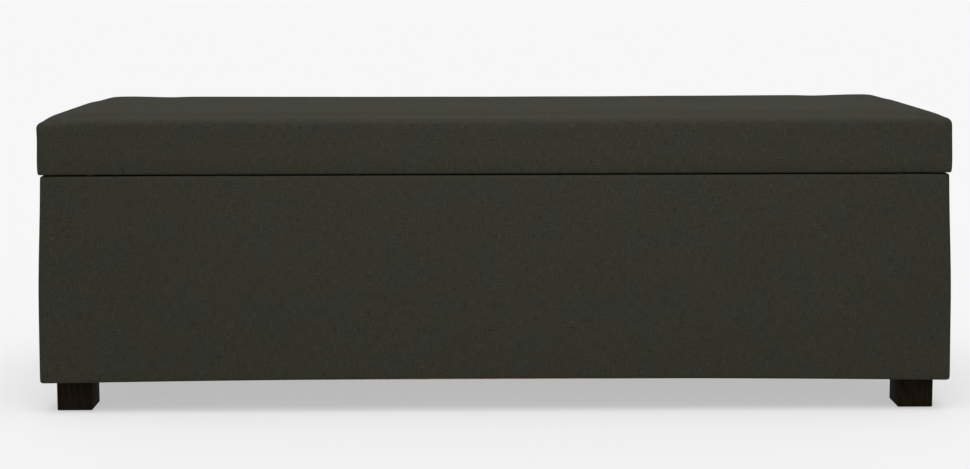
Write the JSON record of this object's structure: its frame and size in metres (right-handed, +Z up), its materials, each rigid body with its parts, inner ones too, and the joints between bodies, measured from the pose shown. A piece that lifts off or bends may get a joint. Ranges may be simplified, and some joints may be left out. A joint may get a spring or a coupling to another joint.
{
  "type": "storage bench",
  "caption": "Long upholstered storage bench: fabric-covered box on square wooden feet, with a padded lid hinged along the back and guided by slotted stays.",
  "frame": {"origin": "on the floor, under the middle of the lid", "axes": "+X along the bench's length, to the right seen from the front; +Y to the back, where the hinges are; +Z up"},
  "size_m": [1.4, 0.4486, 0.459],
  "materials": {
    "panel_wood": "raw plywood, satin",
    "batten_wood": "planed softwood, satin",
    "foot_wood": "dark brown stained beech, satin lacquer",
    "zinc_steel": "zinc plated",
    "glide_plastic": "matte moulded plastic",
    "backing_fabric": "thin black non-woven cloth",
    "wadding": "white polyester wadding",
    "cover_fabric": "plain linen weave with slubs, dark olive grey, matte",
    "lining_fabric": "plain fine cotton weave, grey, matte",
    "foam": "open-cell seat foam, matte",
    "bumper_rubber": "matte black rubber",
    "hinge_steel": "brushed and nickel plated",
    "screw_steel": "zinc plated",
    "stay_steel": "brushed, zinc plated"
  },
  "bodies": {
    "base": {"front_panel": "panel_wood", "rear_panel": "panel_wood", "left_side_panel": "panel_wood", "right_side_panel": "panel_wood", "floor_panel": "panel_wood", "corner_post_front_left": "batten_wood", "corner_post_front_right": "batten_wood", "corner_post_rear_left": "batten_wood", "corner_post_rear_right": "batten_wood", "ledger_front": "batten_wood", "ledger_rear": "batten_wood", "ledger_left": "batten_wood", "ledger_right": "batten_wood", "foot_block_front_left": "batten_wood", "foot_block_front_right": "batten_wood", "foot_block_rear_left": "batten_wood", "foot_block_rear_right": "batten_wood", "foot_front_left": "foot_wood", "foot_front_right": "foot_wood", "foot_rear_left": "foot_wood", "foot_rear_right": "foot_wood", "foot_bolts": "zinc_steel", "foot_tee_nuts": "zinc_steel", "foot_glides": "glide_plastic", "dust_cover": "backing_fabric", "wadding_front": "wadding", "wadding_rear": "wadding", "wadding_left": "wadding", "wadding_right": "wadding", "base_cover": "cover_fabric", "storage_lining": "lining_fabric", "hinge_left_base_leaf": "hinge_steel", "hinge_left_pin": "hinge_steel", "hinge_middle_base_leaf": "hinge_steel", "hinge_middle_pin": "hinge_steel", "hinge_right_base_leaf": "hinge_steel", "hinge_right_pin": "hinge_steel", "hinge_base_screws": "screw_steel", "stay_plate_screws": "screw_steel", "stay_left_plate": "stay_steel", "stay_left_stud": "stay_steel", "stay_right_plate": "stay_steel", "stay_right_stud": "stay_steel"},
    "lid": {"lid_board": "panel_wood", "lid_foam": "foam", "lid_wadding": "wadding", "lid_cover": "cover_fabric", "lid_lining": "backing_fabric", "lid_bumpers": "bumper_rubber", "hinge_lid_screws": "screw_steel", "stay_bracket_screws": "screw_steel", "hinge_left_lid_leaf": "hinge_steel", "hinge_middle_lid_leaf": "hinge_steel", "hinge_right_lid_leaf": "hinge_steel", "stay_left_bracket": "stay_steel", "stay_left_rivet": "stay_steel", "stay_right_bracket": "stay_steel", "stay_right_rivet": "stay_steel"},
    "stay_left": {"stay_left_arm": "stay_steel"},
    "stay_right": {"stay_right_arm": "stay_steel"}
  },
  "joints": [
    {"name": "lid_hinge", "type": "hinge", "parent": "base", "child": "lid", "pos_m": [0, 0.2246, 0.3695], "axis": [-1, 0, 0], "range_deg": [0, 95]},
    {"name": "stay_left_pivot", "type": "hinge", "parent": "lid", "child": "stay_left", "pos_m": [-0.668, 0.09179, 0.35507], "axis": [-1, 0, 0], "range_deg": [-47.5, 0]},
    {"name": "stay_right_pivot", "type": "hinge", "parent": "lid", "child": "stay_right", "pos_m": [0.668, 0.09179, 0.35507], "axis": [-1, 0, 0], "range_deg": [-47.5, 0]}
  ],
  "couplings": [
    {"joint": "stay_left_pivot", "follows": "lid_hinge", "ratio": -0.5},
    {"joint": "stay_right_pivot", "follows": "lid_hinge", "ratio": -0.5}
  ]
}
